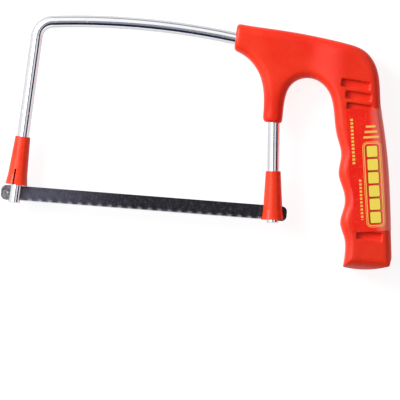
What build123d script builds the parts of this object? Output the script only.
from build123d import *

import math
import os

# Mini hacksaw with a chromed rod frame, a moulded handle and two locking sleeves.
#
# The saw lies on its side. +X runs along the blade from the front sleeve to the handle, +Y
# runs from the blade to the bow of the frame, and +Z points up, out of the saw's plane.
# The origin is under the middle of the saw, on the surface that the handle lies on.
# Lengths are millimetres. Outline points are given in the saw's own axes: x from the
# front pin towards the handle, y from the blade's centre line towards the bow.

# ---- blade and its pins
BLADE_LENGTH = 151.8
BLADE_HEIGHT = 7.9
BLADE_THICKNESS = 0.65
BLADE_CORNER_RADIUS = 2.8
PIN_SPACING = 145.0
PIN_DIAMETER = 1.2
PIN_LENGTH = 2.2
TOOTH_PITCH = 1.06
TOOTH_DEPTH = 0.7
TOOTHLESS_END = 4.5

# ---- rod frame
ROD_DIAMETER = 6.35
PIN_GAP = 0.3
FRONT_LEG_LEAN = 3.4
REAR_LEG_LEAN = 3.7
LEG_REACH = 5.2
BOW_TOP = (60.0, 94.4)
BOW_RADIUS = 400.0
BEND_RADIUS = 9.0
ROD_SLOT_WIDTH = 1.1
SLOT_ROOF_GAP = 0.1
ROD_END_CHAMFER = 0.5

# ---- locking sleeves
SLEEVE_LENGTH = 25.8
SLEEVE_TOP_RADIUS = 3.98
SLEEVE_WAIST_RADIUS = 5.15
SLEEVE_SKIRT_RADIUS = 5.9
SLEEVE_SKIRT_LENGTH = 5.2
SLEEVE_WALL = 0.4
SLEEVE_BORE_CLEARANCE = 0.1
SLEEVE_BORE_LENGTH = 9.0
SLEEVE_RIM_RADIUS = 0.25
SLEEVE_SLIT_WIDTH = 1.15
SLEEVE_SLIT_LENGTH = 8.4
SLEEVE_LOCKED_FOOT = -3.6
FRONT_SLEEVE_TURN = 73.0
FRONT_SLEEVE_REST_GAP = 0.05

# ---- handle
GRIP_THICKNESS = 21.0
ARM_THICKNESS = 14.4
NOZZLE_THICKNESS = 10.8
HANDLE_EDGE_RADIUS = 4.6
HIGHEST_POINT = 98.58
LOWEST_POINT = -26.18
NOSE_TOP = (114.4, 98.7)
NOSE_BOTTOM = (113.7, 84.3)
BACK_CURVE = [
    (143.0, 96.5),
    (172.9, 92.4),
    (182.3, 89.5),
    (188.7, 82.8),
    (192.1, 71.5),
    (193.6, 60.0),
    (195.2, 52.6),
    (199.6, 30.6),
    (203.7, -3.0),
]
BUTT_BACK = (205.4, -18.8)
BUTT_CORNER = (204.5, -23.4)
BUTT_MIDDLE = (193.5, -25.9)
BUTT_FRONT = (180.2, -25.5)
GRIP_CURVE = [
    (180.8, -17.5),
    (180.0, -10.6),
    (177.1, -2.6),
    (178.6, 6.9),
    (177.6, 14.6),
    (174.3, 23.2),
    (174.8, 34.0),
    (172.1, 42.6),
    (169.3, 55.7),
    (165.0, 67.4),
    (154.6, 72.8),
    (145.6, 68.6),
    (142.6, 59.5),
]
NOZZLE_RIGHT = (142.3, 46.7)
NOZZLE_LEFT = (131.7, 47.7)
WEB_CURVE = [
    (131.7, 57.6),
    (128.5, 72.2),
    (121.6, 80.6),
]
THICKENING_X = (152.0, 174.0)
THINNING_Y = (52.0, 70.0)
ARCH_MIDDLE_X = 150.0
NOZZLE_EDGE_RADIUS = 2.0
NOSE_EDGE_RADIUS = 1.0
BUTT_SLOPE_START = -19.8
BUTT_HALF_HEIGHT = 3.2
FAR = 300.0  # well beyond the handle, for cutting shapes with an open side

# ---- cored pockets along both faces of the grip
POCKET_COUNT = 14
POCKET_FIRST = (180.2, 71.1)
POCKET_LAST = (192.7, -8.1)
POCKET_LENGTH = 13.4
POCKET_WIDTH = 4.2
POCKET_DEPTH = 2.2
POCKET_FIRST_TILT = -4.5
POCKET_LAST_TILT = -1.8
TOP_POCKET_EXTRA = 1.8
POCKET_CORNER_RADIUS = 0.6

# ---- label
LABEL_THICKNESS = 0.15
LABEL_CORNERS = [(174.9, 57.9), (210.0, 60.9), (210.0, -3.4), (183.6, -7.0)]
LABEL_BACK_DROP = 3.0

# ---- the saw's middle plane, with its origin at the front pin
ROD_RADIUS = ROD_DIAMETER / 2
TIP_OVERHANG = (BLADE_LENGTH - PIN_SPACING) / 2
MIDDLE_X = (BUTT_BACK[0] - TIP_OVERHANG) / 2
MIDDLE_Y = (HIGHEST_POINT + LOWEST_POINT) / 2
SAW = Plane(origin=(-MIDDLE_X, -MIDDLE_Y, GRIP_THICKNESS / 2))

# ---- where the legs stand: the pins bear on the outer sides of the legs
LEG_OFFSET = ROD_RADIUS + PIN_GAP + PIN_DIAMETER / 2
FRONT_LEG_X = LEG_OFFSET
REAR_LEG_X = PIN_SPACING - LEG_OFFSET


def front_leg(y):
    """A point on the front leg's centre line at height y."""
    return (FRONT_LEG_X + y * math.tan(math.radians(FRONT_LEG_LEAN)), y)


def rear_leg(y):
    """A point on the rear leg's centre line at height y."""
    return (REAR_LEG_X - y * math.tan(math.radians(REAR_LEG_LEAN)), y)


def bow_height(x):
    """Height of the bow's centre line at x."""
    return BOW_TOP[1] - BOW_RADIUS + math.sqrt(BOW_RADIUS**2 - (x - BOW_TOP[0]) ** 2)


def knee(leg):
    """Where a leg's centre line meets the bow's, found by going up and down the leg."""
    y = BOW_TOP[1]
    for _ in range(20):
        y = bow_height(leg(y)[0])
    return leg(y)


FRONT_KNEE = knee(front_leg)
REAR_KNEE = knee(rear_leg)


def leg_plane(leg, foot_y, turn=0.0):
    """A plane across a leg at height foot_y: +Z up the leg, X turned out of the blade's plane."""
    foot = SAW.from_local_coords(Vector(*leg(foot_y), 0))
    top = SAW.from_local_coords(Vector(*leg(foot_y + 1), 0))
    up = (top - foot).normalized()
    across = up.cross(Vector(0, 0, 1)).rotate(Axis((0, 0, 0), up), turn)
    return Plane(origin=foot, x_dir=across, z_dir=up)


def export(part, name):
    """Label a finished piece and write it to its own STEP file."""
    part.label = name
    export_step(part, f"parts/{name}.step")
    print(f"{name}: {part.volume:.1f} mm3")


os.makedirs("parts", exist_ok=True)

# ---- frame rod: one round bar bent twice, with a slot sawn in each foot
SLOT_ROOF = BLADE_HEIGHT / 2 + SLOT_ROOF_GAP
with BuildPart() as frame_rod:
    with BuildLine(SAW) as rod_line:
        Line(front_leg(-LEG_REACH), FRONT_KNEE)
        ThreePointArc(FRONT_KNEE, BOW_TOP, REAR_KNEE)
        Line(REAR_KNEE, rear_leg(-LEG_REACH))
        fillet(rod_line.vertices().sort_by(Axis.Y)[-2:], radius=BEND_RADIUS)
    with BuildSketch(Plane(origin=rod_line.line @ 0, z_dir=rod_line.line % 0)):
        Circle(ROD_RADIUS)
    sweep(path=rod_line.line)
    ends = frame_rod.faces().filter_by(GeomType.PLANE)
    chamfer(ends.edges(), length=ROD_END_CHAMFER)
    with BuildSketch(SAW):
        with Locations((FRONT_LEG_X, SLOT_ROOF), (REAR_LEG_X, SLOT_ROOF)):
            Rectangle(4 * ROD_RADIUS, 3 * LEG_REACH, align=(Align.CENTER, Align.MAX))
    extrude(amount=ROD_SLOT_WIDTH / 2, both=True, mode=Mode.SUBTRACT)

export(frame_rod.part, "frame_rod")

# ---- blade: a thin strip with rounded ends, a hole in each end and a row of teeth
TOOTH_COUNT = int((BLADE_LENGTH - 2 * TOOTHLESS_END) / TOOTH_PITCH)
with BuildPart() as blade:
    with BuildSketch(SAW):
        with Locations((PIN_SPACING / 2, 0)):
            RectangleRounded(BLADE_LENGTH, BLADE_HEIGHT, BLADE_CORNER_RADIUS)
        with Locations((PIN_SPACING / 2, -BLADE_HEIGHT / 2)):
            with GridLocations(TOOTH_PITCH, 0, TOOTH_COUNT, 1):
                Polygon(
                    (-TOOTH_PITCH / 2, 0),
                    (-TOOTH_PITCH / 4, TOOTH_DEPTH),
                    (TOOTH_PITCH / 2, 0),
                    align=None,
                    mode=Mode.SUBTRACT,
                )
        with Locations((0, 0), (PIN_SPACING, 0)):
            Circle(PIN_DIAMETER / 2, mode=Mode.SUBTRACT)
    extrude(amount=BLADE_THICKNESS / 2, both=True)

export(blade.part, "blade")


def blade_pin(x):
    """A cross pin pressed through the blade at x."""
    with BuildPart() as pin:
        with BuildSketch(SAW):
            with Locations((x, 0)):
                Circle(PIN_DIAMETER / 2)
        extrude(amount=PIN_LENGTH / 2, both=True)
    return pin.part


export(blade_pin(0), "front_blade_pin")
export(blade_pin(PIN_SPACING), "rear_blade_pin")


def locking_sleeve(foot):
    """A tapered sleeve standing on the plane foot, slit on both sides along that plane's X."""
    bore = ROD_RADIUS + SLEEVE_BORE_CLEARANCE
    side = Plane(origin=foot.origin, x_dir=foot.x_dir, z_dir=-foot.y_dir)
    with BuildPart() as sleeve:
        with BuildSketch(side):
            with BuildLine():
                Polyline(
                    (bore, SLEEVE_LENGTH),
                    (SLEEVE_TOP_RADIUS, SLEEVE_LENGTH),
                    (SLEEVE_WAIST_RADIUS, SLEEVE_SKIRT_LENGTH),
                    (SLEEVE_SKIRT_RADIUS, 0),
                    (SLEEVE_SKIRT_RADIUS - SLEEVE_WALL, 0),
                    (SLEEVE_WAIST_RADIUS - SLEEVE_WALL, SLEEVE_SKIRT_LENGTH),
                    (bore, SLEEVE_LENGTH - SLEEVE_BORE_LENGTH),
                    close=True,
                )
            make_face()
        revolve(axis=Axis(foot.origin, foot.z_dir))
        rims = sleeve.edges().filter_by(GeomType.CIRCLE)
        top_rim = rims.filter_by(lambda rim: abs(rim.radius - SLEEVE_TOP_RADIUS) < 0.001)
        fillet(top_rim, radius=SLEEVE_RIM_RADIUS)
        with BuildSketch(side):
            Rectangle(4 * SLEEVE_SKIRT_RADIUS, 2 * SLEEVE_SLIT_LENGTH)
        extrude(amount=SLEEVE_SLIT_WIDTH / 2, both=True, mode=Mode.SUBTRACT)
    return sleeve.part


FRONT_SLEEVE_FOOT = (
    BLADE_HEIGHT / 2
    + SLEEVE_SKIRT_RADIUS * math.sin(math.radians(FRONT_LEG_LEAN))
    + FRONT_SLEEVE_REST_GAP
)
export(locking_sleeve(leg_plane(rear_leg, SLEEVE_LOCKED_FOOT)), "rear_sleeve")
export(locking_sleeve(leg_plane(front_leg, FRONT_SLEEVE_FOOT, FRONT_SLEEVE_TURN)), "front_sleeve")


def handle_outline(level):
    """The handle's outline in a plane level above the saw's plane."""
    with BuildSketch(SAW.offset(level)) as outline:
        with BuildLine():
            Spline(NOSE_TOP, *BACK_CURVE, BUTT_BACK)
            Line(BUTT_BACK, BUTT_CORNER)
            ThreePointArc(BUTT_CORNER, BUTT_MIDDLE, BUTT_FRONT)
            Spline(BUTT_FRONT, *GRIP_CURVE, NOZZLE_RIGHT)
            Line(NOZZLE_RIGHT, NOZZLE_LEFT)
            Spline(NOZZLE_LEFT, *WEB_CURVE, NOSE_BOTTOM)
            Line(NOSE_BOTTOM, NOSE_TOP)
        make_face()
    return outline.sketch


def long_rims(part, rank):
    """The two long edges of a curved side wall: rank 0 is the web, 1 the grip front, 2 the back."""
    walls = part.faces().filter_by(GeomType.EXTRUSION)
    walls = walls.filter_by(lambda face: abs(face.normal_at(None).Z) < 0.05)
    wall = walls.sort_by(SortBy.AREA)[rank]
    return wall.edges().filter_by(lambda edge: abs((edge % 0.5).Z) < 0.7)


def handle_body():
    """The handle without pockets or rod: thick at the grip, slimmer at the arm and the nozzle."""
    grip = GRIP_THICKNESS / 2
    arm = ARM_THICKNESS / 2
    nozzle = NOZZLE_THICKNESS / 2
    seen_from_butt = Plane(origin=SAW.origin, x_dir=(1, 0, 0), z_dir=(0, -1, 0))
    seen_from_front = Plane(origin=SAW.origin, x_dir=(0, 1, 0), z_dir=(1, 0, 0))
    with BuildPart() as body:
        extrude(handle_outline(-grip), amount=2 * grip)
        with BuildSketch(seen_from_butt):
            with BuildLine():
                swell = Spline(
                    (THICKENING_X[0], arm), (THICKENING_X[1], grip), tangents=[(1, 0), (1, 0)]
                )
                Polyline(swell @ 1, (FAR, grip), (FAR, 0), (0, 0), (0, arm), swell @ 0)
            make_face()
            mirror(about=Plane.XZ)
        extrude(amount=FAR, both=True, mode=Mode.INTERSECT)
        with BuildSketch(seen_from_front.offset(ARCH_MIDDLE_X)):
            with BuildLine():
                flare = Spline(
                    (THINNING_Y[0], nozzle), (THINNING_Y[1], arm), tangents=[(1, 0), (1, 0)]
                )
                Polyline(flare @ 1, (THINNING_Y[1], FAR), (0, FAR), (0, nozzle), flare @ 0)
            make_face()
            mirror(about=Plane.XZ)
        extrude(amount=-FAR, mode=Mode.SUBTRACT)
        for rank in range(3):
            fillet(long_rims(body, rank), radius=HANDLE_EDGE_RADIUS)
        with BuildSketch(seen_from_front):
            with BuildLine():
                slope = Spline(
                    (BUTT_SLOPE_START, grip),
                    (LOWEST_POINT, BUTT_HALF_HEIGHT),
                    tangents=[(-1, 0), (-0.4, -1)],
                )
                Polyline(slope @ 1, (-FAR, 0), (-FAR, FAR), (BUTT_SLOPE_START, FAR), slope @ 0)
            make_face()
            mirror(about=Plane.XZ)
        extrude(amount=FAR, mode=Mode.SUBTRACT)
        flats = body.faces().filter_by(GeomType.PLANE)
        nozzle_face = flats.filter_by(lambda face: face.normal_at(None).Y < -0.9).sort_by(Axis.Y)[0]
        fillet(nozzle_face.edges(), radius=NOZZLE_EDGE_RADIUS)
        fillet(body.faces().sort_by(Axis.X)[0].edges(), radius=NOSE_EDGE_RADIUS)
    return body.part


def pockets():
    """Place and length of each pocket, evenly spaced down the grip; the top one reaches further forward."""
    for i in range(POCKET_COUNT):
        along = i / (POCKET_COUNT - 1)
        x = POCKET_FIRST[0] + along * (POCKET_LAST[0] - POCKET_FIRST[0])
        y = POCKET_FIRST[1] + along * (POCKET_LAST[1] - POCKET_FIRST[1])
        tilt = POCKET_FIRST_TILT + along * (POCKET_LAST_TILT - POCKET_FIRST_TILT)
        extra = TOP_POCKET_EXTRA if i == 0 else 0.0
        yield Location((x - extra / 2, y), tilt), POCKET_LENGTH + extra


# ---- handle: moulded over the rod in one piece, with a row of pockets cored into each face
plain_handle = handle_body()
with BuildPart() as handle:
    add(plain_handle)
    add(frame_rod.part, mode=Mode.SUBTRACT)
    for face_level in (GRIP_THICKNESS / 2, -GRIP_THICKNESS / 2):
        with BuildSketch(SAW.offset(face_level)):
            for place, length in pockets():
                with Locations(place):
                    RectangleRounded(length, POCKET_WIDTH, POCKET_CORNER_RADIUS)
        extrude(amount=POCKET_DEPTH, both=True, mode=Mode.SUBTRACT)

export(handle.part, "handle")

# ---- label: a thin printed sheet over the upper face, turned down over the grip's back
label_skin = plain_handle.moved(Location((LABEL_THICKNESS, 0, LABEL_THICKNESS)))
with BuildPart() as label:
    with BuildSketch(SAW.offset(-LABEL_BACK_DROP)):
        Polygon(*LABEL_CORNERS, align=None)
    extrude(amount=GRIP_THICKNESS)
    add(label_skin, mode=Mode.INTERSECT)
    add(plain_handle, mode=Mode.SUBTRACT)

export(label.part, "label")
